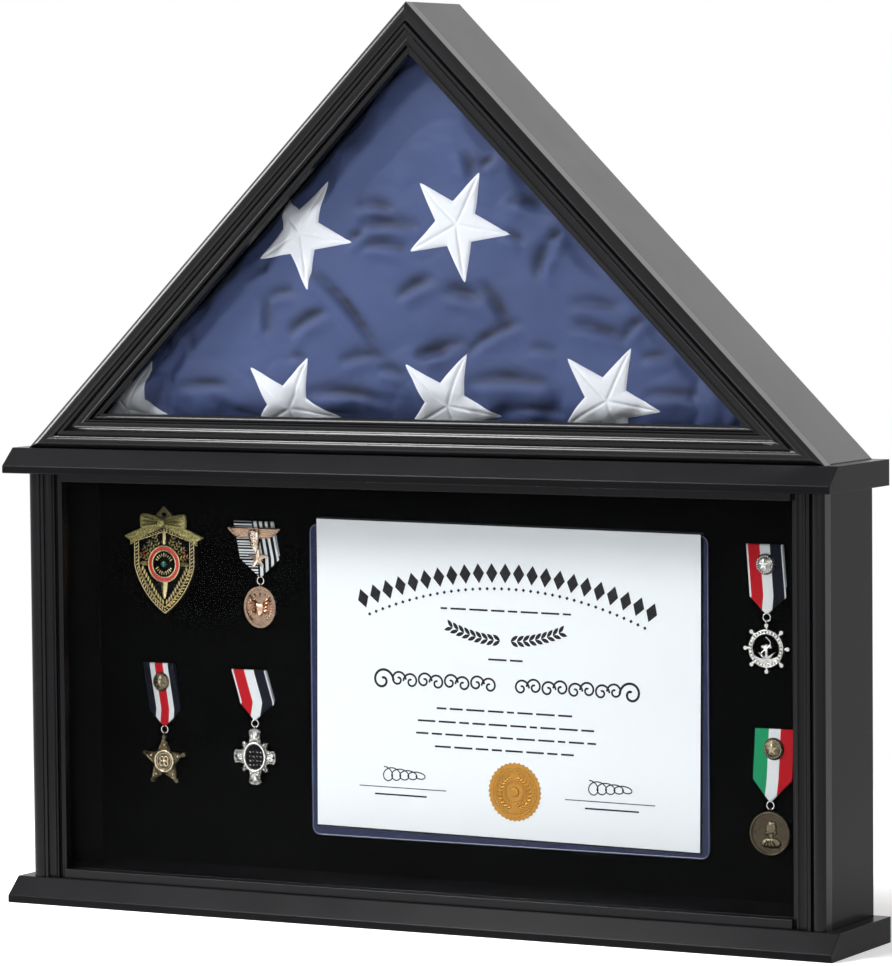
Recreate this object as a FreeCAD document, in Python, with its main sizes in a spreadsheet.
import FreeCAD, Part
import math
import os
import Sketcher
from FreeCAD import Placement, Rotation, Vector

# Folded flag display case: a triangular flag case with a moulded, mitred frame
# stands on a glazed shadow box that shows a certificate, a badge and five medals.
# Millimetres. X runs to the viewer's right, Y to the back, Z up. The origin is the
# middle of the base board's underside.

SIZES = [
    ("board_depth", 95, "depth of the base and shelf boards"),
    ("board_thickness", 17, "thickness of the base and shelf boards"),
    ("lip_height", 5, "upright lip along the front of a board"),
    ("chamfer_run", 13.5, "depth of the sloping front above the lip"),
    ("edge_round", 1.0, "rounding of a board's front arrises"),
    ("case_width", 598, "outer width of the shadow box and of the flag case"),
    ("board_overhang", 11, "how far the boards stand out past the case at each end"),
    ("box_height", 280, "clear height between the two boards"),
    ("front_setback", 17.5, "from a board's lip back to the moulding's outer side"),
    ("back_setback", 2.5, "from a board's back edge in to the back of both boxes"),
    ("side_thickness", 15, "thickness of the shadow box sides"),
    ("ledge_width", 6, "ledge in a box side that carries the back panel"),
    ("rail_height", 6, "height of the rails and of the floor and ceiling boards"),
    ("panel_thickness", 5, "thickness of the back panels"),
    ("panel_gap", 0.5, "gap round the edges of the back panels and the pin board"),
    ("seat_gap", 0.3, "gap between a loose piece and what it lies against"),
    ("lining_thickness", 5, "thickness of the velvet-covered pin board"),
    ("glass_thickness", 2, "thickness of both windows"),
    ("glass_gap", 0.3, "gap round the edges of both windows"),
    ("stop_width", 6, "width of the strips that hold the windows"),
    ("stop_depth", 6, "depth of the strips that hold the windows"),
    ("moulding_side", 9, "height of the moulding's outer side"),
    ("bead_width", 9, "width of the outer bead"),
    ("bead_height", 9.5, "height of the moulding at the inner foot of the outer bead"),
    ("bead_rise", 2.4, "how far the outer bead stands above its chord"),
    ("quirk_width", 1, "narrow groove beside the outer bead"),
    ("quirk_floor", 7.5, "height of the groove's floor"),
    ("fillet_width", 2, "flat fillet between the groove and the cove"),
    ("fillet_height", 11, "height of that fillet"),
    ("cove_width", 7.3, "width of the cove, the moulding's main hollow"),
    ("cove_dip", 2.6, "how far the cove lies below its chord"),
    ("arris_width", 0.6, "flat arris between the cove and the inner lip"),
    ("arris_height", 9.5, "height of that arris"),
    ("sight_height", 6, "height of the moulding's inner lip"),
    ("sight_bead_width", 2.7, "width of the small bead on the inner lip"),
    ("sight_bead_rise", 0.9, "how far the small bead stands above the lip"),
    ("sight_flat", 1.4, "flat of the inner lip beside the opening"),
    ("flag_wall", 12, "thickness of the flag case walls"),
    ("flag_ledge", 4, "ledge in a flag case wall that carries its back panel"),
    ("flag_gap", 0.5, "gap between the folded flag and the walls"),
    ("flag_crown", 11, "from the window's back to the crown of the folded flag"),
    ("flag_edge_fall", 12, "how far the flag's face falls back at its edges"),
    ("flag_shoulder", 46, "width of the rounded shoulder along the flag's edges"),
    ("flag_corner", 6, "rounding of the folded flag's corners"),
    ("button_length", 30, "length of a turn button"),
    ("button_width", 8, "width of a turn button"),
    ("button_thickness", 1.0, "thickness of a turn button"),
    ("button_corner", 3.6, "corner radius of a turn button"),
    ("button_gap", 0.15, "gap under a turn button and under its screw's head"),
    ("button_inset", 70, "from a board to the nearer turn button's screw"),
    ("flag_button_spread", 110, "from the middle of a slope to a turn button's screw"),
    ("pivot_shank", 3.0, "diameter of a pivot screw"),
    ("pivot_gap", 0.05, "running gap between a pivot screw and its turn button"),
    ("pivot_head", 6.5, "diameter of a pivot screw's head"),
    ("pivot_head_height", 1.2, "height of a pivot screw's head"),
    ("pivot_depth", 12, "depth of a pivot screw in the wood"),
    ("screw_shank", 4, "diameter of a countersunk screw"),
    ("screw_head", 8, "diameter of a countersunk screw's head"),
    ("screw_grip", 22, "depth of a countersunk screw in the wood past its board"),
    ("flag_screw_grip", 8, "depth of a countersunk screw in the flag case floor"),
    ("screw_spread", 24, "from the middle of a side panel to each of its screws"),
    ("flag_screw_spread", 170, "from the middle of the shelf to its outer flag case screws"),
    ("hole_gap", 0.1, "gap round a screw in its hole"),
    ("paper_width", 290, "width of the certificate"),
    ("paper_height", 210, "height of the certificate"),
    ("paper_thickness", 0.4, "thickness of the certificate"),
    ("paper_across", 36.5, "middle of the certificate, from the middle of the case"),
    ("paper_up", 0.508, "middle of the certificate, as a share of the clear height"),
    ("paper_tilt", 0.6, "clockwise tilt of the certificate, in degrees"),
    ("sleeve_side", 5.5, "how far the sleeve shows past the certificate's ends"),
    ("sleeve_height", 214, "height of the sleeve"),
    ("sleeve_drop", 4, "how far the sleeve's middle lies under the certificate's"),
    ("sleeve_thickness", 0.8, "thickness of the sleeve"),
    ("sleeve_corner", 6, "corner radius of the sleeve"),
    ("seal_radius", 20, "radius of the gold seal"),
    ("seal_tooth", 1.0, "depth of the seal's teeth"),
    ("seal_thickness", 0.4, "thickness of the gold seal"),
    ("seal_across", 6.5, "middle of the seal, from the certificate's middle"),
    ("seal_up", 31.6, "middle of the seal, above the certificate's lower edge"),
    ("badge_across", 0.3235, "middle of the badge, as a share of the space beside the certificate"),
    ("badge_up", 0.776, "middle of the badge's ring, as a share of the clear height"),
    ("badge_width", 49, "width of the shield"),
    ("badge_rise", 19, "from the ring's middle up to the shield's shoulders"),
    ("badge_peak", 7.5, "how far the shield's top point stands above its shoulders"),
    ("eye_up", 34.2, "middle of the badge's lozenge eye, above the ring's middle"),
    ("eye_rise", 6.2, "from the lozenge eye's middle up to its point"),
    ("eye_fall", 9.6, "from the lozenge eye's middle down to its root"),
    ("eye_width", 12.8, "width of the lozenge eye"),
    ("eye_hole", 2.0, "radius of the hole in the lozenge eye"),
    ("badge_waist", 1.5, "from the ring's middle down to where the shield starts to taper"),
    ("badge_fall", 34.7, "from the ring's middle down to the shield's tip"),
    ("badge_belly", 4.0, "how far the shield's lower sides bulge"),
    ("badge_thickness", 3, "thickness of the shield"),
    ("badge_ring_radius", 12.5, "outer radius of the enamel ring"),
    ("badge_ring_width", 3, "width of the enamel ring"),
    ("badge_ring_height", 0.8, "how far the enamel ring stands proud"),
    ("bow_up", 28.7, "middle of the bow, above the ring's middle"),
    ("loop_length", 18, "length of a loop of the bow"),
    ("loop_height", 10, "height of a loop at its outer end"),
    ("loop_root", 6.5, "height of a loop at the knot"),
    ("loop_bulge", 0.9, "how far the edges of a loop bulge"),
    ("loop_lift", 0.9, "how far a loop's outer end stands above the knot"),
    ("loop_depth", 4, "depth of the loops"),
    ("tail_reach", 32, "from the knot to the end of a tail of the bow"),
    ("tail_drop", 12.8, "how far a tail's end hangs below the knot"),
    ("tail_width", 6.4, "height of a tail"),
    ("tail_slant", 4.8, "how far a tail's lower corner stands back"),
    ("tail_notch", 2.6, "depth of the notch in a tail's end"),
    ("tail_depth", 2, "depth of the tails"),
    ("knot_radius", 3.2, "radius of the bow's knot"),
    ("knot_depth", 6, "depth of the bow's knot"),
    ("ribbon_depth", 2.8, "depth of a folded medal ribbon"),
    ("ring_radius", 2.6, "radius of a medal ring, to the middle of its wire"),
    ("ring_wire", 0.45, "radius of a medal ring's wire"),
    ("ring_drop", 2.3, "middle of a medal ring, below the ribbon's tip"),
    ("ring_stand", 1.9, "middle of a medal ring, in front of the pin board"),
    ("ring_gap", 0.25, "gap between a ring and the fold that holds it"),
    ("bail_radius", 1.15, "radius of a pendant's bail, to the middle of its wire"),
    ("bail_wire", 0.4, "radius of a bail's wire"),
    ("bail_slack", 0.2, "how far a bail hangs below the ring's wire"),
    ("bail_root", 0.45, "how far a bail is let into its pendant"),
    ("pendant_thickness", 2.2, "thickness of a pendant's plate"),
    ("pendant_relief", 0.5, "how far a pendant's raised work stands proud"),
    ("button_dome", 3.2, "height of a ribbon's dome button"),
]

# Each medal's ribbon: its tip as a share of the space beside the certificate and of the clear height,
# its width and length, its point's length, and how far its corners and its top hang aside of its tip.
MEDALS = {
    "oval": (0.7735, 0.75, 31, 38.5, 13.5, -0.4, -5.4),
    "star": (0.3106, 0.353, 25, 44, 12, 1, -4.2),
    "cross": (0.74, 0.381, 27, 34.6, 12.5, 2.2, -4.6),
    "wheel": (0.437, 0.706, 26, 45.5, 12, 1.2, -1.4),
    "coin": (0.4577, 0.2466, 28, 48, 15.5, 1.9, 3.6),
}
for medal, (across, tip, wide, length, point, sway, lean) in MEDALS.items():
    SIZES += [
        (f"{medal}_across", across, f"tip of the {medal} ribbon, as a share of the space beside the paper"),
        (f"{medal}_tip", tip, f"tip of the {medal} ribbon, as a share of the clear height"),
        (f"{medal}_ribbon_width", wide, f"width of the {medal} medal's ribbon"),
        (f"{medal}_ribbon_length", length, f"length of the {medal} medal's ribbon"),
        (f"{medal}_ribbon_point", point, f"length of the {medal} ribbon's pointed end"),
        (f"{medal}_sway", sway, f"middle of the {medal} ribbon at its corners, to the right of its tip"),
        (f"{medal}_lean", lean, f"middle of the {medal} ribbon's top, to the right of its tip"),
    ]
SIZES += [
    ("oval_half_width", 12.6, "half the width of the oval pendant"),
    ("oval_half_height", 14.3, "half the height of the oval pendant"),
    ("oval_rim", 2, "width of the oval pendant's raised rim"),
    ("star_reach", 16.6, "radius of the star pendant's points"),
    ("star_waist", 8, "radius of the star pendant's inner corners"),
    ("star_ball", 1.5, "radius of the studs on the star's points"),
    ("star_boss", 8.2, "radius of the star pendant's round middle"),
    ("cross_reach", 19.2, "half the height of the cross pendant"),
    ("cross_side_reach", 16.5, "half the width of the cross pendant"),
    ("cross_flare", 4.6, "half the width of a cross arm at its end"),
    ("cross_neck", 1.9, "half the width of a cross arm at its root"),
    ("cross_dip", 1.4, "how far the corners of an arm's end stand back"),
    ("cross_ray", 14.2, "radius of the rays between the arms"),
    ("cross_ray_root", 10, "radius of the notches between the rays"),
    ("cross_oval_width", 9, "half the width of the cross pendant's oval middle"),
    ("cross_oval_height", 10.6, "half the height of the cross pendant's oval middle"),
    ("cross_oval_rim", 1.7, "width of the raised rim round that oval"),
    ("wheel_reach", 16.4, "radius to the end of the wheel's handles"),
    ("wheel_radius", 12.2, "outer radius of the wheel's rim"),
    ("wheel_rim", 2.4, "width of the wheel's rim"),
    ("wheel_grip", 0.95, "radius of the wheel's handles"),
    ("wheel_knob", 1.35, "radius of the knobs on the handles"),
    ("scroll_height", 5.2, "height of the scroll across the foot of the wheel"),
    ("scroll_dip", 2.2, "how far the scroll's top edge sags"),
    ("anchor_height", 12.5, "height of the anchor's shank above the foot of the wheel's opening"),
    ("anchor_shank", 1.6, "width of the anchor's shank"),
    ("anchor_stock", 7, "width of the anchor's stock"),
    ("anchor_arm", 12, "span of the anchor's arms"),
    ("anchor_arm_up", 7.5, "height of the anchor's flukes above the foot of the opening"),
    ("coin_radius", 14.4, "radius of the coin pendant"),
    ("coin_rim", 1.6, "width of the coin's raised rim"),
    ("star_button_radius", 6.6, "radius of the star ribbon's dome button"),
    ("wheel_button_radius", 7, "radius of the wheel ribbon's dome button"),
    ("coin_button_radius", 7.4, "radius of the coin ribbon's dome button"),
    ("button_down", 13, "middle of a dome button, below the top of its ribbon"),
    ("wing_span", 42, "span of the winged device"),
    ("wing_height", 7, "height of the wings"),
    ("wing_thickness", 1.4, "thickness of the wings"),
    ("wing_down", 8, "middle of the wings, below the top of their ribbon"),
    ("crest_width", 8, "width of the shield between the wings"),
    ("crest_rise", 2.6, "how far that shield stands above the middle of the wings"),
    ("crest_fall", 14, "how far that shield reaches below the middle of the wings"),
    ("crest_thickness", 2.2, "thickness of that shield"),
    ("crest_sway", 2, "how far that shield's tip hangs to the right"),
    ("small_star_reach", 8, "radius of the points of the small star under that shield"),
    ("small_star_waist", 3.2, "radius of the small star's inner corners"),
    ("small_star_across", 3, "middle of the small star, to the right of the middle of the wings"),
    ("small_star_down", 17.5, "middle of the small star, below the middle of the wings"),
]

doc = FreeCAD.newDocument("FlagDisplayCase")
sheet = doc.addObject("Spreadsheet::Sheet", "Sizes")
for row, (alias, number, meaning) in enumerate(SIZES, start=1):
    sheet.set(f"A{row}", meaning)
    sheet.set(f"B{row}", str(number))
    sheet.setAlias(f"B{row}", alias)
doc.recompute()

# Levels and planes that several pieces share, as expressions of the sheet.
BOARD_WIDTH = "(Sizes.case_width + 2 * Sizes.board_overhang)"
HALF_DEPTH = "(Sizes.board_depth / 2)"
SEAT = "(Sizes.front_setback + Sizes.moulding_side - Sizes.board_depth / 2)"
FRONT = "(Sizes.front_setback - Sizes.board_depth / 2)"
BACK = "(Sizes.board_depth / 2 - Sizes.back_setback)"
PANEL_FACE = f"({BACK} - Sizes.panel_thickness)"
LEDGE = f"({PANEL_FACE} - Sizes.seat_gap)"
LINING = f"({PANEL_FACE} - Sizes.lining_thickness)"
GLASS_BACK = f"({SEAT} + Sizes.glass_thickness)"
BASE_TOP = "Sizes.board_thickness"
SHELF_BOTTOM = "(Sizes.board_thickness + Sizes.box_height)"
SHELF_TOP = "(2 * Sizes.board_thickness + Sizes.box_height)"
HALF_CASE = "(Sizes.case_width / 2)"
HALF_INSIDE = "(Sizes.case_width / 2 - Sizes.side_thickness)"
SLOPE = "(Sizes.case_width / sqrt(2))"
MOULDING_WIDTH = (
    "(Sizes.bead_width + Sizes.quirk_width + Sizes.fillet_width + Sizes.cove_width"
    " + Sizes.arris_width + Sizes.sight_bead_width + Sizes.sight_flat)"
)
# Cotangents of the mitres: half of the 45 degree corners, and half of the square apex.
CORNER_MITRE = "(1 + sqrt(2))"
APEX_MITRE = "1"
PENDANT_TOP = (
    "(Sizes.ring_radius + Sizes.bail_slack + Sizes.bail_radius + Sizes.bail_wire - Sizes.bail_root)"
)
RING_PLANE = f"({LINING} - Sizes.ring_stand)"
FLOOR = f"({BASE_TOP} + Sizes.rail_height)"
CEILING = f"({SHELF_BOTTOM} - Sizes.rail_height)"
HALF_SLEEVE = "(Sizes.paper_width / 2 + Sizes.sleeve_side)"
NO_TURN = Rotation()
ALONG_Y = Rotation(Vector(1, 0, 0), -90)
TO_FRONT = Rotation(Vector(1, 0, 0), 90)
UPSIDE_DOWN = Rotation(Vector(1, 0, 0), 180)
FULL_TURN = 360
SAME_SPOT = 0.01
LEAST_VOLUME = 1.0

subparts = {}


def height_at(share):
    """Level at a share of the clear height between the floor and the ceiling of the shadow box."""
    return f"({FLOOR} + {share} * ({CEILING} - {FLOOR}))"


def left_at(share):
    """Place across at a share of the space from the left wall to the certificate's sleeve."""
    return f"({share} * (Sizes.paper_across - {HALF_SLEEVE} + {HALF_INSIDE}) - {HALF_INSIDE})"


def right_at(share):
    """Place across at a share of the space from the certificate's sleeve to the right wall."""
    edge = f"(Sizes.paper_across + {HALF_SLEEVE})"
    return f"({edge} + {share} * ({HALF_INSIDE} - {edge}))"


def value(expression):
    """Present value of an expression of the sheet."""
    return float(sheet.evalExpression(str(expression)))


def keep(label, piece):
    """Give a finished sub-part its name and put it on the list to be written."""
    piece.Label = label
    subparts[label] = piece
    return piece


def place(piece, x="0", y="0", z="0", turn=NO_TURN):
    """Turn a piece about its own origin and bind its place to the sheet."""
    piece.Placement = Placement(Vector(value(x), value(y), value(z)), turn)
    for axis, expression in zip("xyz", (x, y, z)):
        piece.setExpression(f"Placement.Base.{axis}", str(expression))
    return piece


def new_body(label):
    """Empty body whose name says which sub-part it makes."""
    return doc.addObject("PartDesign::Body", f"{label}_body")


def new_sketch(body, plane, offset=None):
    """Sketch on one of the body's origin planes, moved along the plane's normal by an expression."""
    sketch = body.newObject("Sketcher::SketchObject", f"{body.Name}_sketch")
    support = next(item for item in body.Origin.OriginFeatures if item.Role == plane)
    sketch.AttachmentSupport = [(support, "")]
    sketch.MapMode = "FlatFace"
    if offset is not None:
        sketch.AttachmentOffset = Placement(Vector(0, 0, value(offset)), NO_TURN)
        sketch.setExpression("AttachmentOffset.Base.z", str(offset))
    return sketch


def draw_outline(sketch, corners, arcs=None):
    """Closed outline through corners given as expressions. arcs maps the number of a side to
    its radius and to the side of travel, 1 left or -1 right, on which its centre lies."""
    arcs = arcs or {}
    first = sketch.GeometryCount
    count = len(corners)
    points = [Vector(value(x), value(y), 0) for x, y in corners]
    starts = []
    for side in range(count):
        start, end = points[side], points[(side + 1) % count]
        if side not in arcs:
            sketch.addGeometry(Part.LineSegment(start, end))
            starts.append(1)
            continue
        radius, turn = value(arcs[side][0]), arcs[side][1]
        chord = end - start
        across = Vector(-chord.y, chord.x, 0).normalize()
        reach = math.sqrt(max(radius**2 - chord.Length**2 / 4, 0))
        centre = (start + end) * 0.5 + across * (turn * reach)
        angles = [math.atan2(p.y - centre.y, p.x - centre.x) for p in (start, end)][::turn]
        circle = Part.Circle(centre, Vector(0, 0, 1), radius)
        sketch.addGeometry(Part.ArcOfCircle(circle, angles[0], angles[1]))
        starts.append(1 if turn == 1 else 2)
    for side in range(count):
        following = (side + 1) % count
        link = (first + side, 3 - starts[side], first + following, starts[following])
        sketch.addConstraint(Sketcher.Constraint("Coincident", *link))
    for side, (x, y) in enumerate(corners):
        for kind, expression, at in (("DistanceX", x, points[side].x), ("DistanceY", y, points[side].y)):
            rule = Sketcher.Constraint(kind, -1, 1, first + side, starts[side], at)
            bind(sketch, rule, expression)
    for side, (radius, turn) in arcs.items():
        bind(sketch, Sketcher.Constraint("Radius", first + side, value(radius)), radius)
    return sketch


def draw_circle(sketch, x, y, radius):
    """Full circle whose middle and radius are expressions."""
    centre = Vector(value(x), value(y), 0)
    number = sketch.addGeometry(Part.Circle(centre, Vector(0, 0, 1), value(radius)))
    bind(sketch, Sketcher.Constraint("DistanceX", -1, 1, number, 3, centre.x), x)
    bind(sketch, Sketcher.Constraint("DistanceY", -1, 1, number, 3, centre.y), y)
    bind(sketch, Sketcher.Constraint("Radius", number, value(radius)), radius)
    return sketch


def bind(sketch, rule, expression):
    """Add a dimension to a sketch and bind it to the sheet."""
    number = sketch.addConstraint(rule)
    sketch.setExpression(f"Constraints[{number}]", str(expression))


def pad(body, sketch, length, sides="One side", backwards=False):
    """Raise a sketch into a solid."""
    feature = body.newObject("PartDesign::Pad", f"{body.Name}_pad")
    feature.Profile = sketch
    feature.SideType = sides
    feature.Reversed = backwards
    feature.setExpression("Length", str(length))
    return feature


def cut_through(body, sketch):
    """Cut a sketch right through the solid, both ways."""
    feature = body.newObject("PartDesign::Pocket", f"{body.Name}_cut")
    feature.Profile = sketch
    feature.Type = "ThroughAll"
    feature.SideType = "Symmetric"
    return feature


def rectangle(low_x, high_x, low_y, high_y):
    """Corners of an upright rectangle, anticlockwise."""
    return [(low_x, low_y), (high_x, low_y), (high_x, high_y), (low_x, high_y)]


def rounded(low_x, high_x, low_y, high_y, radius):
    """Corners and corner arcs of a rounded rectangle, anticlockwise."""
    corners = [
        (f"{low_x} + {radius}", low_y), (f"{high_x} - {radius}", low_y),
        (high_x, f"{low_y} + {radius}"), (high_x, f"{high_y} - {radius}"),
        (f"{high_x} - {radius}", high_y), (f"{low_x} + {radius}", high_y),
        (low_x, f"{high_y} - {radius}"), (low_x, f"{low_y} + {radius}"),
    ]
    return corners, {side: (radius, 1) for side in (1, 3, 5, 7)}


def arc_radius(start, end, rise):
    """Radius of the arc that stands a given rise above its chord."""
    chord = f"(({end[0]} - ({start[0]}))^2 + ({end[1]} - ({start[1]}))^2)"
    return f"(({chord} / 4 + {rise}^2) / (2 * {rise}))"


def box(label, low, high):
    """Plain board or strip between two opposite corners given as expressions."""
    body = new_body(label)
    sketch = draw_outline(new_sketch(body, "XY_Plane"), rectangle(low[0], high[0], low[1], high[1]))
    pad(body, sketch, f"{high[2]} - ({low[2]})")
    return keep(label, place(body, z=low[2]))


def turned(name, section, arcs=None):
    """Solid turned about its own Z axis from a section of radius and height pairs."""
    body = new_body(name)
    sketch = draw_outline(new_sketch(body, "XZ_Plane"), section, arcs)
    turning = body.newObject("PartDesign::Revolution", f"{name}_turning")
    turning.Profile = sketch
    turning.ReferenceAxis = (sketch, ["V_Axis"])
    turning.Angle = FULL_TURN
    return body


def group(name, pieces):
    """Like solids, such as screws, as one piece."""
    together = doc.addObject("Part::Compound", f"{name}_group")
    together.Links = pieces
    return together


def drilled(label, blank, holes):
    """Take screw holes out of a blank."""
    blank.Label = f"{label}_blank"
    piece = doc.addObject("Part::Cut", f"{label}_drilled")
    piece.Base = blank
    piece.Tool = group(f"{label}_holes", holes)
    return keep(label, piece)


def fused(label, pieces):
    """Join several features into one solid."""
    joined = doc.addObject("Part::MultiFuse", f"{label}_joined")
    joined.Shapes = pieces
    return keep(label, joined)


# Screws. Each has a hole that is larger all round by a gap.


def countersunk(name, spot, grip, turn, gap="0"):
    """Countersunk screw with its flat head at a spot, or its hole where a gap is given."""
    shank = f"(Sizes.screw_shank / 2 + {gap})"
    head = f"(Sizes.screw_head / 2 + {gap})"
    end = f"(Sizes.board_thickness + {grip} + {gap})"
    section = [("0", "0"), (head, "0")]
    if gap != "0":
        section.append((head, gap))
    section += [(shank, f"{head} - {shank} + {gap}"), (shank, f"{end} - 2 * {shank}"), ("0", end)]
    return place(turned(name, section), *spot, turn)


def pivot_screw(name, spot, gap="0"):
    """Pan-headed screw that a turn button pivots on, or its hole where a gap is given."""
    shank = f"(Sizes.pivot_shank / 2 + {gap})"
    depth = f"(Sizes.pivot_depth + {gap})"
    point = [(shank, f"{depth} - {shank}"), ("0", depth)]
    if gap != "0":
        return place(turned(name, [("0", "0"), (shank, "0")] + point), *spot, TO_FRONT)
    head = "(Sizes.pivot_head / 2)"
    seat = "-(2 * Sizes.button_gap + Sizes.button_thickness)"
    edge = f"{seat} - Sizes.pivot_head_height / 2"
    top = f"{seat} - Sizes.pivot_head_height"
    rim = f"{head} - Sizes.pivot_head_height / 2"
    section = [("0", top), (rim, top), (head, edge), (head, seat), (shank, seat)] + point
    return place(turned(name, section), *spot, TO_FRONT)


def screws_and_holes(label, make, spots):
    """Write the screws at some spots as one piece, and give back their holes."""
    screws = [make(f"{label}_{number}", spot) for number, spot in enumerate(spots)]
    holes = [make(f"{label}_hole_{number}", spot, gap="Sizes.hole_gap")
             for number, spot in enumerate(spots)]
    keep(label, group(label, screws))
    return holes


def side_screw_spots(level):
    """Spot of each screw that joins a board to the side panels, at a given level."""
    across = f"({HALF_CASE} - Sizes.side_thickness / 2)"
    return [(f"{side} * {across}", f"{SCREW_LINE} + {way} * Sizes.screw_spread", level)
            for side in (-1, 1) for way in (-1, 1)]


def side_screw_up(name, spot, gap="0"):
    """Screw up through the base board into a side panel."""
    return countersunk(name, spot, "Sizes.screw_grip", NO_TURN, gap)


def side_screw_down(name, spot, gap="0"):
    """Screw down through the shelf board into a side panel."""
    return countersunk(name, spot, "Sizes.screw_grip", UPSIDE_DOWN, gap)


def flag_case_screw(name, spot, gap="0"):
    """Screw up through the shelf board into the flag case floor."""
    return countersunk(name, spot, "Sizes.flag_screw_grip", NO_TURN, gap)


SCREW_LINE = f"(({SEAT} + {LEDGE}) / 2)"
flag_spots = [(f"{way} * Sizes.flag_screw_spread", SCREW_LINE, SHELF_BOTTOM) for way in (-1, 0, 1)]
base_screw_holes = screws_and_holes("base_screws", side_screw_up, side_screw_spots("0"))
shelf_screw_holes = screws_and_holes("shelf_screws", side_screw_down, side_screw_spots(SHELF_TOP))
flag_screw_holes = screws_and_holes("flag_case_screws", flag_case_screw, flag_spots)


# Boards


def moulded_board(label, level, holes):
    """Board with an upright lip, a sloping front and rounded front arrises."""
    body = new_body(label)
    lip = ("-" + HALF_DEPTH, "Sizes.lip_height")
    top = (f"Sizes.chamfer_run - {HALF_DEPTH}", "Sizes.board_thickness")
    foot = ("-" + HALF_DEPTH, "0")
    corners = [foot, (HALF_DEPTH, "0"), (HALF_DEPTH, "Sizes.board_thickness"), top, lip]
    outline = draw_outline(new_sketch(body, "YZ_Plane"), corners)
    feature = pad(body, outline, BOARD_WIDTH, "Symmetric")
    doc.recompute()
    soft = [(value(y), value(z)) for y, z in (lip, top, foot)]
    names = []
    for number, edge in enumerate(feature.Shape.Edges, start=1):
        ends = [vertex.Point for vertex in edge.Vertexes]
        for y, z in soft:
            if all(math.hypot(p.y - y, p.z - z) < SAME_SPOT for p in ends):
                names.append(f"Edge{number}")
    rounding = body.newObject("PartDesign::Fillet", f"{body.Name}_rounding")
    rounding.Base = (feature, names)
    rounding.setExpression("Radius", "Sizes.edge_round")
    place(body, z=level)
    return drilled(label, body, holes)


moulded_board("base_board", "0", base_screw_holes)
moulded_board("shelf_board", SHELF_BOTTOM, shelf_screw_holes + flag_screw_holes)


# Turn buttons and the screws they pivot on


def turn_button(label, spot, turn):
    """Round-ended plate with its hole near one end, lying along the local +X axis."""
    body = new_body(label)
    half = "Sizes.button_width / 2"
    far_end = f"(Sizes.button_length - {half})"
    sketch = new_sketch(body, "XZ_Plane")
    draw_outline(sketch, *rounded(f"-{half}", far_end, f"-{half}", half, "Sizes.button_corner"))
    draw_circle(sketch, "0", "0", "Sizes.pivot_shank / 2 + Sizes.pivot_gap")
    pad(body, sketch, "Sizes.button_thickness", backwards=True)
    x, z = spot
    return keep(label, place(body, x, f"{BACK} + Sizes.button_gap", z, turn))


def about_y(degrees):
    """Rotation about the Y axis."""
    return Rotation(Vector(0, 1, 0), degrees)


PIVOT_INSET = "((Sizes.side_thickness - Sizes.ledge_width) / 2)"
FLAG_PIVOT_INSET = "((Sizes.flag_wall - Sizes.flag_ledge) / 2)"
LOW_PIVOT = f"({BASE_TOP} + Sizes.button_inset)"
HIGH_PIVOT = f"({SHELF_BOTTOM} - Sizes.button_inset)"
PIVOT_ACROSS = f"({HALF_CASE} - {PIVOT_INSET})"
POINT_UP = about_y(-90)
POINT_DOWN = about_y(90)
display_pivots = {
    "display_button_lower_left": (f"-{PIVOT_ACROSS}", LOW_PIVOT, POINT_UP),
    "display_button_upper_left": (f"-{PIVOT_ACROSS}", HIGH_PIVOT, POINT_DOWN),
    "display_button_lower_right": (PIVOT_ACROSS, LOW_PIVOT, POINT_UP),
    "display_button_upper_right": (PIVOT_ACROSS, HIGH_PIVOT, POINT_DOWN),
}


def slope_point(side, along, inset):
    """Point on a slope of the flag case: along from its middle towards the apex, inset from its face."""
    x = f"({side} * ({HALF_CASE} / 2 - ({along} + {inset}) / sqrt(2)))"
    z = f"({SHELF_TOP} + {HALF_CASE} / 2 + ({along} - {inset}) / sqrt(2))"
    return x, z


flag_pivots = {}
for side_name, side in (("left", -1), ("right", 1)):
    towards_apex = about_y(-45) if side < 0 else about_y(-135)
    towards_foot = about_y(135) if side < 0 else about_y(45)
    low = slope_point(side, "-Sizes.flag_button_spread", FLAG_PIVOT_INSET)
    high = slope_point(side, "Sizes.flag_button_spread", FLAG_PIVOT_INSET)
    flag_pivots[f"flag_button_lower_{side_name}"] = (*low, towards_apex)
    flag_pivots[f"flag_button_upper_{side_name}"] = (*high, towards_foot)

for label, (x, z, turn) in {**display_pivots, **flag_pivots}.items():
    turn_button(label, (x, z), turn)


def pivot_spots(pivots, ending):
    """Where the pivot screws of the turn buttons of one side enter the wood."""
    return [(x, BACK, z) for label, (x, z, turn) in pivots.items() if label.endswith(ending)]


def pivot_screws(label, pivots):
    """Write the pivot screws of some turn buttons, and give back the holes of each side."""
    spots = pivot_spots(pivots, "left") + pivot_spots(pivots, "right")
    holes = screws_and_holes(label, pivot_screw, spots)
    middle = len(spots) // 2
    return {-1: holes[:middle], 1: holes[middle:]}


display_pivot_holes = pivot_screws("display_button_screws", display_pivots)
flag_pivot_holes = pivot_screws("flag_button_screws", flag_pivots)


# Shadow box


def side_panel(label, side):
    """Box side with a ledge for the back panel along its inner back edge."""
    body = new_body(label)
    outer = f"{side} * {HALF_CASE}"
    inner = f"{side} * {HALF_INSIDE}"
    ledge = f"{side} * ({HALF_INSIDE} + Sizes.ledge_width)"
    corners = [(outer, SEAT), (outer, BACK), (ledge, BACK), (ledge, LEDGE), (inner, LEDGE), (inner, SEAT)]
    pad(body, draw_outline(new_sketch(body, "XY_Plane"), corners), "Sizes.box_height")
    place(body, z=BASE_TOP)
    return drilled(label, body, base_screw_holes + shelf_screw_holes + display_pivot_holes[side])


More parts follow.
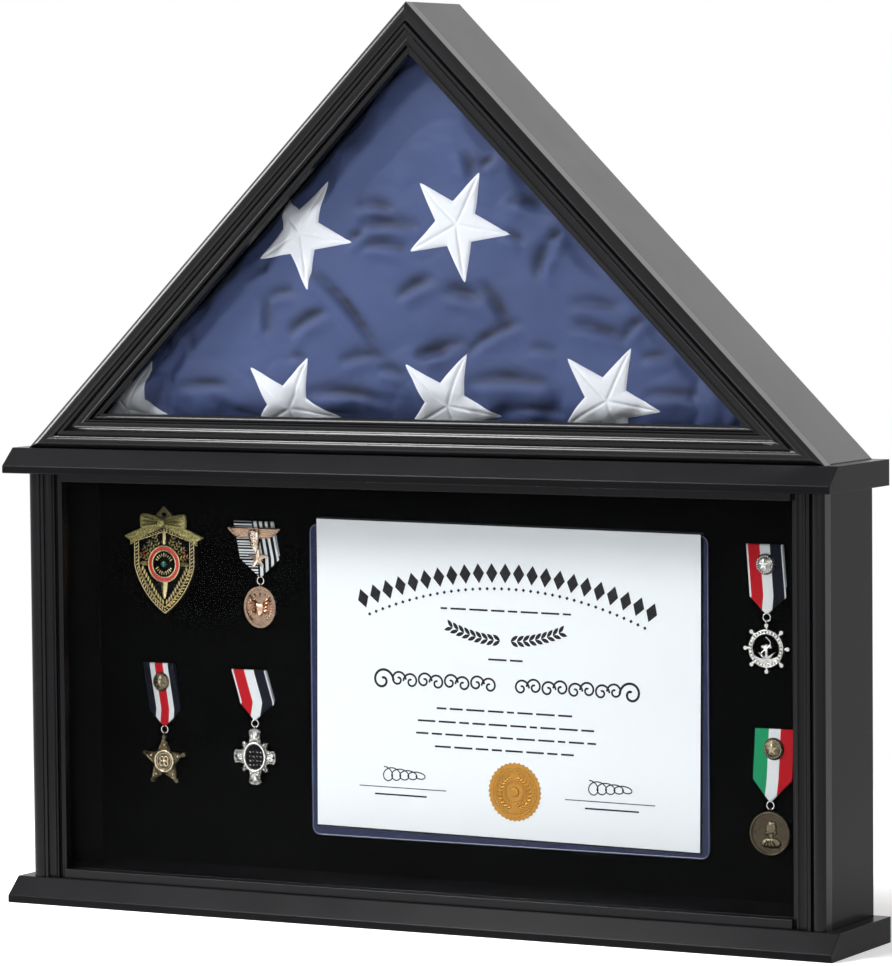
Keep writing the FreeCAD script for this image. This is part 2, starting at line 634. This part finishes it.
def moulding_section():
    """Moulding in section, back at Y 0 and face towards -Y, outer side at Z 0, with its arcs."""
    spots = [("0", "0"), ("Sizes.moulding_side", "0")]
    arcs = {}

    def step(height, width=None, rise=None, turn=-1):
        """Next point of the face, at a height and a width further in, along an arc if it has a rise."""
        across = spots[-1][1] if width is None else f"{spots[-1][1]} + {width}"
        if rise:
            arcs[len(spots) - 1] = (arc_radius(spots[-1], (height, across), rise), turn)
        spots.append((height, across))

    step("Sizes.bead_height", "Sizes.bead_width", "Sizes.bead_rise")
    step("Sizes.quirk_floor")
    step("Sizes.quirk_floor", "Sizes.quirk_width")
    step("Sizes.fillet_height")
    step("Sizes.fillet_height", "Sizes.fillet_width")
    step("Sizes.arris_height", "Sizes.cove_width", "Sizes.cove_dip", 1)
    step("Sizes.arris_height", "Sizes.arris_width")
    step("Sizes.sight_height")
    step("Sizes.sight_height", "Sizes.sight_bead_width", "Sizes.sight_bead_rise")
    step("Sizes.sight_height", "Sizes.sight_flat")
    step("0")
    return [(f"-({height})", across) for height, across in spots], arcs


def strip(label, section, length, width, mitres):
    """Length of a section along X, its outer side at Z 0, with its two ends mitred or square."""
    body = new_body(label)
    corners, arcs = section
    pad(body, draw_outline(new_sketch(body, "YZ_Plane"), corners, arcs), length, "Symmetric")
    for way, mitre in zip((-1, 1), mitres):
        if mitre is None:
            continue
        spare = width
        end = f"({length} / 2)"
        cut = [
            (f"{way} * ({end} + {spare})", f"-{spare} / {mitre}"),
            (f"{way} * ({end} - {mitre} * ({width} + {spare}))", f"{width} + {spare}"),
            (f"{way} * ({end} + {spare})", f"{width} + {spare}"),
        ]
        cut_through(body, draw_outline(new_sketch(body, "XZ_Plane"), cut))
    return body


side_panel("left_side_panel", -1)
side_panel("right_side_panel", 1)
PILASTER_MIDDLE = f"({BASE_TOP} + Sizes.box_height / 2)"
for label, side in (("left_pilaster", -1), ("right_pilaster", 1)):
    pilaster = strip(label, moulding_section(), "Sizes.box_height", MOULDING_WIDTH, (None, None))
    keep(label, place(pilaster, f"{side} * {HALF_CASE}", SEAT, PILASTER_MIDDLE, about_y(-90 * side)))

HALF_RAIL = f"({HALF_CASE} - {MOULDING_WIDTH})"
BOARD_BACK = f"({LINING} - Sizes.seat_gap)"
box("bottom_rail", (f"-{HALF_RAIL}", FRONT, BASE_TOP), (HALF_RAIL, SEAT, FLOOR))
box("top_rail", (f"-{HALF_RAIL}", FRONT, CEILING), (HALF_RAIL, SEAT, SHELF_BOTTOM))
box("floor_board", (f"-{HALF_INSIDE}", GLASS_BACK, BASE_TOP), (HALF_INSIDE, BOARD_BACK, FLOOR))
box("ceiling_board", (f"-{HALF_INSIDE}", GLASS_BACK, CEILING), (HALF_INSIDE, BOARD_BACK, SHELF_BOTTOM))
HALF_PANE = f"({HALF_INSIDE} - Sizes.glass_gap)"
box("display_window", (f"-{HALF_PANE}", SEAT, f"{BASE_TOP} + Sizes.glass_gap"),
    (HALF_PANE, GLASS_BACK, f"{SHELF_BOTTOM} - Sizes.glass_gap"))
STOP_BACK = f"({GLASS_BACK} + Sizes.stop_depth)"
STOP_IN = f"({HALF_INSIDE} - Sizes.stop_width)"
box("left_window_stop", (f"-{HALF_INSIDE}", GLASS_BACK, FLOOR), (f"-{STOP_IN}", STOP_BACK, CEILING))
box("right_window_stop", (STOP_IN, GLASS_BACK, FLOOR), (HALF_INSIDE, STOP_BACK, CEILING))
HALF_LINING = f"({HALF_INSIDE} - Sizes.panel_gap)"
HALF_PANEL = f"({HALF_LINING} + Sizes.ledge_width)"
PANEL_LOW = f"({BASE_TOP} + Sizes.panel_gap)"
PANEL_HIGH = f"({SHELF_BOTTOM} - Sizes.panel_gap)"
box("pin_board", (f"-{HALF_LINING}", LINING, PANEL_LOW), (HALF_LINING, PANEL_FACE, PANEL_HIGH))
box("display_back_panel", (f"-{HALF_PANEL}", PANEL_FACE, PANEL_LOW), (HALF_PANEL, BACK, PANEL_HIGH))


# Flag case: three walls, three lengths of moulding and three window stops, all mitred alike


def triangle_strips(labels, section, width, inset, holes):
    """Left, right and bottom strips of the triangle, set in from its outer faces by an inset."""
    slope = f"({SLOPE} - {inset} * ({CORNER_MITRE} + {APEX_MITRE}))"
    bottom = f"(Sizes.case_width - 2 * {inset} * {CORNER_MITRE})"
    lean = f"({inset} * ({CORNER_MITRE} - {APEX_MITRE}) / 2)"
    plans = (
        (slope, (APEX_MITRE, CORNER_MITRE), *slope_point(-1, lean, inset), about_y(135)),
        (slope, (CORNER_MITRE, APEX_MITRE), *slope_point(1, lean, inset), about_y(-135)),
        (bottom, (CORNER_MITRE, CORNER_MITRE), "0", f"{SHELF_TOP} + {inset}", NO_TURN),
    )
    made = []
    for label, (length, mitres, x, z, turn), drill in zip(labels, plans, holes):
        body = place(strip(label, section, length, width, mitres), x, SEAT, z, turn)
        made.append(drilled(label, body, drill) if drill else body)
    return made


WALL_DEPTH = f"({BACK} - {SEAT})"
LEDGE_DEPTH = f"({LEDGE} - {SEAT})"
WALL_STEP = "(Sizes.flag_wall - Sizes.flag_ledge)"
wall_section = [
    ("0", "0"), (WALL_DEPTH, "0"), (WALL_DEPTH, WALL_STEP),
    (LEDGE_DEPTH, WALL_STEP), (LEDGE_DEPTH, "Sizes.flag_wall"), ("0", "Sizes.flag_wall"),
]
triangle_strips(
    ("flag_left_side", "flag_right_side", "flag_floor"), (wall_section, None), "Sizes.flag_wall", "0",
    (flag_pivot_holes[-1], flag_pivot_holes[1], flag_screw_holes))
frame_labels = ("flag_frame_left", "flag_frame_right", "flag_frame_bottom")
frame_strips = triangle_strips(frame_labels, moulding_section(), MOULDING_WIDTH, "0", (None, None, None))
for label, piece in zip(frame_labels, frame_strips):
    keep(label, piece)

stop_front = "Sizes.glass_thickness"
stop_section = rectangle(stop_front, f"{stop_front} + Sizes.stop_depth", "0", "Sizes.stop_width")
stop_labels = ("flag_stop_left", "flag_stop_right", "flag_stop_bottom")
stop_strips = triangle_strips(stop_labels, (stop_section, None), "Sizes.stop_width", "Sizes.flag_wall",
                              (None, None, None))
keep("flag_window_stops", group("flag_window_stops", stop_strips))


def triangle(inset):
    """Corners of the case's triangle set in by an inset, seen from the front."""
    half = f"({HALF_CASE} - {inset} * {CORNER_MITRE})"
    return [(f"-{half}", inset), (half, inset), ("0", f"{HALF_CASE} - {inset} * sqrt(2)")]


def triangle_plate(label, inset, near, far):
    """Triangular plate that follows the case's walls at an inset, from one depth to another."""
    body = new_body(label)
    sketch = draw_outline(new_sketch(body, "XZ_Plane"), triangle(inset))
    pad(body, sketch, f"{far} - {near}", backwards=True)
    return keep(label, place(body, y=near, z=SHELF_TOP))


triangle_plate("flag_window", "(Sizes.flag_wall + Sizes.glass_gap)", SEAT, GLASS_BACK)
triangle_plate("flag_back_panel", f"({WALL_STEP} + Sizes.panel_gap)", PANEL_FACE, BACK)


def rounded_triangle(inset, radius):
    """The case's triangle set in by an inset, with rounded corners and their arcs."""
    half = f"({HALF_CASE} - {inset} * {CORNER_MITRE})"
    peak = f"({HALF_CASE} - {inset} * sqrt(2))"
    foot = f"({radius} * {CORNER_MITRE})"
    slant = f"({radius} / sqrt(2))"
    rise = f"({foot} / sqrt(2))"
    corners = [
        (f"-{half} + {foot}", inset), (f"{half} - {foot}", inset),
        (f"{half} - {rise}", f"{inset} + {rise}"), (slant, f"{peak} - {slant}"),
        (f"-{slant}", f"{peak} - {slant}"), (f"-{half} + {rise}", f"{inset} + {rise}"),
    ]
    return corners, {side: (radius, 1) for side in (1, 3, 5)}


def folded_flag():
    """Padded triangle: straight folded edges at the walls, rounded shoulders and a crowned face."""
    body = new_body("folded_flag")
    edge = "(Sizes.flag_wall + Sizes.flag_gap)"
    crown = f"({GLASS_BACK} + Sizes.flag_crown)"
    # Share of the shoulder's width gone by, and share of the fall still to come, at each section.
    shoulder = [(0, 1.0), (0.08, 0.55), (0.3, 0.2), (0.62, 0.05), (1.0, 0)]
    sections = [(edge, f"({PANEL_FACE} - Sizes.seat_gap)")]
    for share, fall in shoulder:
        inset = f"({edge} + Sizes.flag_shoulder * {share})"
        sections.append((inset, f"({crown} + Sizes.flag_edge_fall * {fall})"))
    sketches = []
    for inset, depth in sections:
        sketch = new_sketch(body, "XZ_Plane", f"-{depth}")
        sketches.append(draw_outline(sketch, *rounded_triangle(inset, "Sizes.flag_corner")))
    loft = body.newObject("PartDesign::AdditiveLoft", "folded_flag_loft")
    loft.Profile = sketches[0]
    loft.Sections = sketches[1:]
    loft.Ruled = True
    return keep("folded_flag", place(body, z=SHELF_TOP))


folded_flag()


# Certificate


def plate(label, corners, arcs, thickness, back, x, z, turn=NO_TURN):
    """Flat piece drawn in its own X and Z, its back on a plane, standing forward of it."""
    body = new_body(label)
    sketch = draw_outline(new_sketch(body, "XZ_Plane"), corners, arcs)
    pad(body, sketch, thickness)
    return place(body, x, back, z, turn)


PAPER_UP = height_at("Sizes.paper_up")
paper_turn = about_y(value("Sizes.paper_tilt"))
half_rise = "(Sizes.sleeve_height / 2)"
sleeve = rounded(f"-{HALF_SLEEVE}", HALF_SLEEVE, f"-{half_rise}", half_rise, "Sizes.sleeve_corner")
keep("certificate_sleeve", plate("certificate_sleeve", *sleeve, "Sizes.sleeve_thickness", LINING,
                                 "Sizes.paper_across", f"{PAPER_UP} - Sizes.sleeve_drop"))
paper = rectangle("-Sizes.paper_width / 2", "Sizes.paper_width / 2", "-Sizes.paper_height / 2",
                  "Sizes.paper_height / 2")
PAPER_BACK = f"({LINING} - Sizes.sleeve_thickness)"
PAPER_FACE = f"({PAPER_BACK} - Sizes.paper_thickness)"
keep("certificate", plate("certificate", paper, None, "Sizes.paper_thickness", PAPER_BACK,
                          "Sizes.paper_across", PAPER_UP, paper_turn))


def toothed(points, reach, waist, first=90.0):
    """Corners of a star or a serrated disc with its first point at an angle in degrees."""
    corners = []
    for number in range(2 * points):
        angle = math.radians(first + 180.0 * number / points)
        radius = waist if number % 2 else reach
        corners.append((f"{radius} * {math.cos(angle):.9f}", f"{radius} * {math.sin(angle):.9f}"))
    return corners


SEAL_TEETH = 36
seal = toothed(SEAL_TEETH, "Sizes.seal_radius", "(Sizes.seal_radius - Sizes.seal_tooth)")
SEAL_ACROSS = "Sizes.paper_across + Sizes.seal_across"
SEAL_UP = f"{PAPER_UP} - Sizes.paper_height / 2 + Sizes.seal_up"
keep("certificate_seal", plate("certificate_seal", seal, None, "Sizes.seal_thickness", PAPER_FACE,
                               SEAL_ACROSS, SEAL_UP))


# Shield badge

BADGE_ACROSS = left_at("Sizes.badge_across")
BADGE_UP = height_at("Sizes.badge_up")
BADGE_FACE = f"({LINING} - Sizes.badge_thickness)"


def shield_badge():
    """Heater shield with a pointed top edge, bulging lower sides and a lozenge eye above."""
    half = "Sizes.badge_width / 2"
    shoulder = "Sizes.badge_rise"
    waist = "-Sizes.badge_waist"
    peak = f"{shoulder} + Sizes.badge_peak"
    corners = [("0", "-Sizes.badge_fall"), (half, waist), (half, shoulder), ("0", peak),
               (f"-{half}", shoulder), (f"-{half}", waist)]
    bulge = arc_radius(corners[0], corners[1], "Sizes.badge_belly")
    arcs = {0: (bulge, 1), 5: (bulge, 1)}
    shield = plate("shield_plate", corners, arcs, "Sizes.badge_thickness", "0", "0", "0")
    eye = new_body("shield_eye")
    wide = "Sizes.eye_width / 2"
    lozenge = [("0", "-Sizes.eye_fall"), (wide, "0"), ("0", "Sizes.eye_rise"), (f"-{wide}", "0")]
    sketch = draw_outline(new_sketch(eye, "XZ_Plane"), lozenge)
    draw_circle(sketch, "0", "0", "Sizes.eye_hole")
    pad(eye, sketch, "Sizes.badge_thickness")
    place(eye, z="Sizes.eye_up")
    return place(fused("shield_badge", [shield, eye]), BADGE_ACROSS, LINING, BADGE_UP)


def shield_ring():
    """Flat enamel ring on the face of the shield."""
    body = new_body("shield_ring")
    sketch = new_sketch(body, "XZ_Plane")
    draw_circle(sketch, "0", "0", "Sizes.badge_ring_radius")
    draw_circle(sketch, "0", "0", "Sizes.badge_ring_radius - Sizes.badge_ring_width")
    pad(body, sketch, "Sizes.badge_ring_height")
    return keep("shield_ring", place(body, BADGE_ACROSS, BADGE_FACE, BADGE_UP))


def shield_bow():
    """Bow with two loops, two notched tails and a round knot, flat on the shield's face."""
    pieces = []
    for side in (-1, 1):
        far, lift, root = f"{side} * Sizes.loop_length", "Sizes.loop_lift", "Sizes.loop_root / 2"
        low, high = f"{lift} - Sizes.loop_height / 2", f"{lift} + Sizes.loop_height / 2"
        loop = [("0", f"-{root}"), (far, low), (far, high), ("0", root)]
        bulges = {number: (arc_radius(loop[number], loop[number + 1], "Sizes.loop_bulge"), side)
                  for number in (0, 1, 2)}
        pieces.append(plate(f"bow_loop_{side + 1}", loop, bulges, "Sizes.loop_depth", "0", "0", "0"))
        end, drop, half = f"{side} * Sizes.tail_reach", "-Sizes.tail_drop", "Sizes.tail_width / 2"
        corner = f"{side} * (Sizes.tail_reach - Sizes.tail_slant)"
        notch = f"{side} * (Sizes.tail_reach - Sizes.tail_slant / 2 - Sizes.tail_notch)"
        tail = [("0", f"-{half}"), (corner, f"{drop} - {half}"), (notch, drop), (end, f"{drop} + {half}"),
                ("0", half)]
        pieces.append(plate(f"bow_tail_{side + 1}", tail, None, "Sizes.tail_depth", "0", "0", "0"))
    knot = new_body("bow_knot")
    pad(knot, draw_circle(new_sketch(knot, "XZ_Plane"), "0", "0", "Sizes.knot_radius"), "Sizes.knot_depth")
    joined = fused("shield_bow", pieces + [knot])
    return place(joined, BADGE_ACROSS, BADGE_FACE, f"{BADGE_UP} + Sizes.bow_up")


shield_badge()
shield_ring()
shield_bow()


# Medals. Each is made about its ring's middle, with the ribbon above and the pendant below.


RIGHT_MEDALS = ("wheel", "coin")


def ring_spot(medal):
    """Place of a medal's ring on the pin board."""
    across = right_at if medal in RIGHT_MEDALS else left_at
    level = f"({height_at(f'Sizes.{medal}_tip')} - Sizes.ring_drop)"
    return across(f"Sizes.{medal}_across"), RING_PLANE, level


def ribbon_middle(medal, down):
    """Middle of a ribbon's width, to the right of its tip, at a depth below its top."""
    sway, lean = f"Sizes.{medal}_sway", f"Sizes.{medal}_lean"
    run = f"(Sizes.{medal}_ribbon_length - Sizes.{medal}_ribbon_point)"
    return f"({sway} + ({lean} - {sway}) * ({run} - {down}) / {run})"


def ribbon(medal):
    """Folded ribbon with a pointed end, hollowed behind its tip for the ring."""
    label = f"{medal}_medal_ribbon"
    half = f"Sizes.{medal}_ribbon_width / 2"
    tip = "Sizes.ring_drop"
    corner = f"({tip} + Sizes.{medal}_ribbon_point)"
    top = f"({tip} + Sizes.{medal}_ribbon_length)"
    sway, lean = f"Sizes.{medal}_sway", f"Sizes.{medal}_lean"
    corners = [("0", tip), (f"{sway} + {half}", corner), (f"{lean} + {half}", top),
               (f"{lean} - {half}", top), (f"{sway} - {half}", corner)]
    body = new_body(label)
    sketch = draw_outline(new_sketch(body, "XZ_Plane", "-Sizes.ring_stand"), corners)
    pad(body, sketch, "Sizes.ribbon_depth")
    hollow = new_sketch(body, "XZ_Plane", "-Sizes.ring_stand")
    draw_circle(hollow, "0", "0", "Sizes.ring_radius + Sizes.ring_wire + Sizes.ring_gap")
    pocket = body.newObject("PartDesign::Pocket", f"{label}_hollow")
    pocket.Profile = hollow
    pocket.Reversed = True
    pocket.setExpression("Length", "Sizes.ring_stand + Sizes.ring_wire + Sizes.ring_gap")
    return keep(label, place(body, *ring_spot(medal)))


def ring(name, radius, wire, x, y, z, turn):
    """Wire ring bound to the sheet. With no turn its axis is Z."""
    torus = doc.addObject("Part::Torus", name)
    torus.setExpression("Radius1", radius)
    torus.setExpression("Radius2", wire)
    return place(torus, x, y, z, turn)


def bail(medal):
    """Small loop at the top of a pendant, linked through the ring."""
    drop = "-(Sizes.ring_radius + Sizes.bail_slack)"
    return ring(f"{medal}_bail", "Sizes.bail_radius", "Sizes.bail_wire", "0", "0", drop,
                Rotation(Vector(0, 1, 0), 90))


def disc(name, radius, thickness, z, x="0"):
    """Round plate facing forward, centred on the pendants' middle plane."""
    solid = doc.addObject("Part::Cylinder", name)
    solid.setExpression("Radius", radius)
    solid.setExpression("Height", thickness)
    return place(solid, x, f"-({thickness}) / 2", z, ALONG_Y)


def flat_star(name, corners, thickness, z):
    """Plate of a given outline, centred on the pendants' middle plane."""
    body = new_body(name)
    pad(body, draw_outline(new_sketch(body, "XZ_Plane"), corners), thickness, "Symmetric")
    return place(body, z=z)


def oval_outline(wide, tall):
    """Oval of four arcs, from half its width and half its height."""
    across, up = math.cos(OVAL_CORNER), math.sin(OVAL_CORNER)
    corners = [(f"{wide} * {sx * across:.9f}", f"{tall} * {sz * up:.9f}")
               for sx, sz in ((1, -1), (1, 1), (-1, 1), (-1, -1))]
    sides = arc_radius(corners[0], corners[1], f"({wide} * {1 - across:.9f})")
    ends = arc_radius(corners[1], corners[2], f"({tall} * {1 - up:.9f})")
    return corners, {0: (sides, 1), 2: (sides, 1), 1: (ends, 1), 3: (ends, 1)}


def rimmed_oval(name, wide, tall, rim, z):
    """Oval plate with a raised rim on both faces, centred on the pendants' middle plane."""
    body = new_body(name)
    pad(body, draw_outline(new_sketch(body, "XZ_Plane"), *oval_outline(wide, tall)), RAISED, "Symmetric")
    field = oval_outline(f"({wide} - {rim})", f"({tall} - {rim})")
    for start, forward in ((f"{PLATE} / 2", True), (f"-{PLATE} / 2", False)):
        pocket = body.newObject("PartDesign::Pocket", f"{name}_face")
        pocket.Profile = draw_outline(new_sketch(body, "XZ_Plane", start), *field)
        pocket.Reversed = forward
        pocket.setExpression("Length", "2 * Sizes.pendant_relief")
    return place(body, z=z)


# Where the side arcs of the oval meet its end arcs, and how many times the other outlines repeat.
OVAL_CORNER = math.radians(44)
STAR_POINTS = 5
CROSS_RAYS = 12
WHEEL_HANDLES = 8
RAISED = "(Sizes.pendant_thickness + 2 * Sizes.pendant_relief)"
PLATE = "Sizes.pendant_thickness"


def pendant(medal, pieces):
    """Join a pendant's pieces with its bail and hang it from its ring."""
    piece = fused(f"{medal}_pendant", pieces + [bail(medal)])
    return place(piece, *ring_spot(medal))


def oval_pendant():
    """Oval plate of four arcs with a raised rim."""
    middle = f"-({PENDANT_TOP} + Sizes.oval_half_height)"
    return pendant("oval", [rimmed_oval("oval_plate", "Sizes.oval_half_width", "Sizes.oval_half_height",
                                        "Sizes.oval_rim", middle)])


def star_pendant():
    """Five-pointed star, point up, with a stud on each point and a round raised middle."""
    middle = f"-({PENDANT_TOP} + Sizes.star_reach + Sizes.star_ball)"
    outline = toothed(STAR_POINTS, "Sizes.star_reach", "Sizes.star_waist")
    pieces = [
        flat_star("star_plate", outline, PLATE, middle),
        disc("star_boss_disc", "Sizes.star_boss", RAISED, middle),
    ]
    for number in range(STAR_POINTS):
        angle = math.radians(90 + FULL_TURN / STAR_POINTS * number)
        x = f"Sizes.star_reach * {math.cos(angle):.9f}"
        z = f"{middle} + Sizes.star_reach * {math.sin(angle):.9f}"
        pieces.append(disc(f"star_stud_{number}", "Sizes.star_ball", RAISED, z, x))
    return pendant("star", pieces)


def cross_pendant():
    """Cross with flared arms, rays between the arms and a rimmed oval in the middle."""
    middle = f"-({PENDANT_TOP} + Sizes.cross_reach)"
    flare, crown, neck = "Sizes.cross_flare", "Sizes.cross_flare / 2", "Sizes.cross_neck"
    up, aside = "Sizes.cross_reach", "Sizes.cross_side_reach"
    top, side = "(Sizes.cross_reach - Sizes.cross_dip)", "(Sizes.cross_side_reach - Sizes.cross_dip)"
    # A quarter of the outline, from the top of the upper arm round to the end of the right arm.
    quarter = [(crown, up), (flare, top), (neck, neck), (side, flare), (aside, crown)]
    corners = list(quarter)
    corners += [(x, f"-{z}") for x, z in reversed(quarter)]
    corners += [(f"-{x}", f"-{z}") for x, z in quarter]
    corners += [(f"-{x}", z) for x, z in reversed(quarter)]
    rays = toothed(CROSS_RAYS, "Sizes.cross_ray", "Sizes.cross_ray_root", 45.0)
    pieces = [
        flat_star("cross_arms", corners, PLATE, middle),
        flat_star("cross_rays", rays, f"{PLATE} - Sizes.pendant_relief", middle),
        rimmed_oval("cross_oval", "Sizes.cross_oval_width", "Sizes.cross_oval_height",
                    "Sizes.cross_oval_rim", middle),
    ]
    return pendant("cross", pieces)


def wheel_pendant():
    """Ship's wheel: a flat rim with handles outside, and an anchor on a scroll inside."""
    middle = f"-({PENDANT_TOP} + Sizes.wheel_reach)"
    opening = "(Sizes.wheel_radius - Sizes.wheel_rim)"
    rim = new_body("wheel_rim")
    sketch = draw_circle(new_sketch(rim, "XZ_Plane"), "0", "0", "Sizes.wheel_radius")
    pad(rim, draw_circle(sketch, "0", "0", opening), PLATE, "Symmetric")
    pieces = [place(rim, z=middle)]
    # The scroll fills the foot of the opening, up to an edge that sags between two points of the rim.
    level = f"(Sizes.scroll_height - {opening})"
    half = f"sqrt({opening}^2 - {level}^2)"
    ends = [(f"-{half}", level), (half, level)]
    sag = arc_radius(*ends, "Sizes.scroll_dip")
    scroll = new_body("wheel_scroll")
    outline = draw_outline(new_sketch(scroll, "XZ_Plane"), ends, {0: (sag, 1), 1: (opening, -1)})
    pad(scroll, outline, RAISED, "Symmetric")
    pieces.append(place(scroll, z=middle))
    foot, shank = f"(-{opening})", "Sizes.anchor_shank / 2"
    head = f"({foot} + Sizes.anchor_height)"
    stock = "Sizes.anchor_stock / 2"
    pole = rectangle(f"-{shank}", shank, foot, head)
    bar = rectangle(f"-{stock}", stock, f"{head} - 3 * {shank}", f"{head} - {shank}")
    fluke = "Sizes.anchor_arm / 2"
    tips = f"{foot} + Sizes.anchor_arm_up"
    arms = [(f"-{fluke}", tips), ("0", f"{foot} + {shank}"), (fluke, tips), ("0", f"{foot} + 5 * {shank}")]
    for name, corners in (("pole", pole), ("stock", bar), ("arms", arms)):
        pieces.append(flat_star(f"anchor_{name}", corners, PLATE, middle))
    for number in range(WHEEL_HANDLES):
        lean = FULL_TURN / WHEEL_HANDLES * number
        across, up = math.sin(math.radians(lean)), math.cos(math.radians(lean))
        start = "(Sizes.wheel_radius - Sizes.wheel_rim / 2)"
        end = "(Sizes.wheel_reach - Sizes.wheel_knob)"
        grip = doc.addObject("Part::Cylinder", f"wheel_grip_{number}")
        grip.setExpression("Radius", "Sizes.wheel_grip")
        grip.setExpression("Height", f"{end} - {start}")
        place(grip, f"{start} * {across:.9f}", "0", f"{middle} + {start} * {up:.9f}", about_y(lean))
        knob_place = (f"{middle} + {end} * {up:.9f}", f"{end} * {across:.9f}")
        pieces += [grip, disc(f"wheel_knob_{number}", "Sizes.wheel_knob", PLATE, *knob_place)]
    return pendant("wheel", pieces)


def coin_pendant():
    """Round coin with a raised rim on both faces."""
    middle = f"-({PENDANT_TOP} + Sizes.coin_radius)"
    inner = "(Sizes.coin_radius - Sizes.coin_rim)"
    edge, face = f"({RAISED} / 2)", f"({PLATE} / 2)"
    outer = "Sizes.coin_radius"
    section = [("0", f"-{face}"), (inner, f"-{face}"), (inner, f"-{edge}"), (outer, f"-{edge}"),
               (outer, edge), (inner, edge), (inner, face), ("0", face)]
    return pendant("coin", [place(turned("coin_plate", section), z=middle, turn=TO_FRONT)])


def dome_button(medal):
    """Dome on the face of a ribbon, the cap of a ball."""
    label = f"{medal}_medal_button"
    radius = f"Sizes.{medal}_button_radius"
    section = [("0", "0"), (radius, "0"), ("0", "Sizes.button_dome")]
    ball_radius = f"(({radius}^2 + Sizes.button_dome^2) / (2 * Sizes.button_dome))"
    dome = turned(label, section, {1: (ball_radius, 1)})
    x, y, z = ring_spot(medal)
    lift = f"(Sizes.ring_drop + Sizes.{medal}_ribbon_length - Sizes.button_down)"
    aside = f"{x} + {ribbon_middle(medal, 'Sizes.button_down')}"
    return keep(label, place(dome, aside, f"{LINING} - Sizes.ribbon_depth", f"{z} + {lift}", TO_FRONT))


# Right wing's outline, as shares of half the span and of the height.
WING = [(0, -0.5), (0.56, -0.5), (0.8, -0.15), (1, 0.42), (0.96, 0.5), (0, 0.5)]


def winged_device():
    """Spread wings, a small shield between them and a small star below, on the oval medal's ribbon."""
    right = [(f"Sizes.wing_span / 2 * {x}", f"Sizes.wing_height * {z}") for x, z in WING]
    left = [(f"-({x})", z) for x, z in right[-2:0:-1]]
    wings = plate("wings", right + left, None, "Sizes.wing_thickness", "0", "0", "0")
    half = "Sizes.crest_width / 2"
    corners = [("Sizes.crest_sway", "-Sizes.crest_fall"), (half, "0"), (half, "Sizes.crest_rise"),
               (f"-{half}", "Sizes.crest_rise"), (f"-{half}", "0")]
    bulge = arc_radius(corners[0], corners[1], f"({half} / 4)")
    arcs = {0: (bulge, 1), 4: (bulge, 1)}
    crest = plate("crest", corners, arcs, "Sizes.crest_thickness", "0", "0", "0")
    x, y, z = ring_spot("oval")
    lift = "(Sizes.ring_drop + Sizes.oval_ribbon_length - Sizes.wing_down)"
    points = toothed(STAR_POINTS, "Sizes.small_star_reach", "Sizes.small_star_waist")
    star = plate("small_star", points, None, "Sizes.wing_thickness", "0", "Sizes.small_star_across",
                 "-Sizes.small_star_down")
    device = fused("winged_device", [wings, crest, star])
    aside = f"{x} + {ribbon_middle('oval', 'Sizes.wing_down')}"
    return place(device, aside, f"{LINING} - Sizes.ribbon_depth", f"{z} + {lift}")


for medal in MEDALS:
    ribbon(medal)
keep("medal_rings", group("medal_rings", [
    ring(f"{medal}_ring", "Sizes.ring_radius", "Sizes.ring_wire", *ring_spot(medal), TO_FRONT)
    for medal in MEDALS]))
oval_pendant()
star_pendant()
cross_pendant()
wheel_pendant()
coin_pendant()
for medal in ("star", "wheel", "coin"):
    dome_button(medal)
winged_device()


# Every object has to be sound before anything is written

doc.recompute()
faults = [item.Label for item in doc.Objects if {"Invalid", "Error"} & set(item.State)]
for label, piece in subparts.items():
    if piece.Shape.isNull() or not piece.Shape.isValid() or not piece.Shape.Solids:
        faults.append(label)
    elif min(solid.Volume for solid in piece.Shape.Solids) < LEAST_VOLUME:
        faults.append(label)
if faults:
    raise RuntimeError("these objects failed: " + ", ".join(sorted(set(faults))))

os.makedirs("parts", exist_ok=True)
for label, piece in subparts.items():
    piece.Shape.exportStep(f"parts/{label}.step")
print(len(subparts), "sub-parts written")
